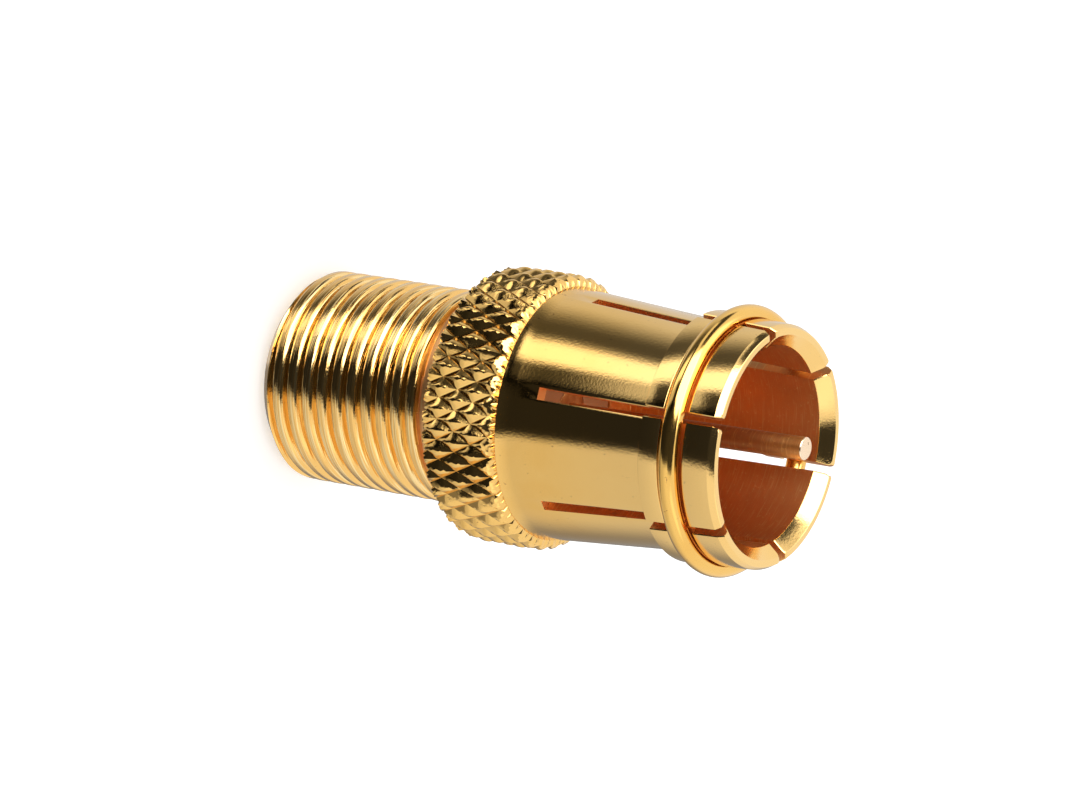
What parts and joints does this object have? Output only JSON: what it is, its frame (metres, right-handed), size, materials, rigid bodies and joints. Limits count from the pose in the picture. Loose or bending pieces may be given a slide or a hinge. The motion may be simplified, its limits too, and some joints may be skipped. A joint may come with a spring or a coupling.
{
  "type": "coaxial push-on adapter",
  "caption": "Gold-plated coaxial adapter with a threaded jack at one end, a knurled collar, and a slotted push-on plug with a clamp ring and centre pin at the other",
  "frame": {"origin": "centre of the jack face, on the axis", "axes": "+Z along the axis from the jack face to the push-on mouth and pin; +X and +Y across, with one saw cut near +Y"},
  "size_m": [0.0122, 0.0122, 0.0255],
  "materials": {
    "gold_plated_body": "gold plated, bright, fine turning marks",
    "gold_plated_ring": "gold plated, polished wire",
    "gold_plated_contact": "gold plated, polished",
    "white_insulator": "natural white plastic, smooth"
  },
  "bodies": {
    "root": {"body": "gold_plated_body", "clamp_ring": "gold_plated_ring", "jack_insulator": "white_insulator", "plug_insulator": "white_insulator", "centre_contact": "gold_plated_contact"}
  },
  "joints": []
}
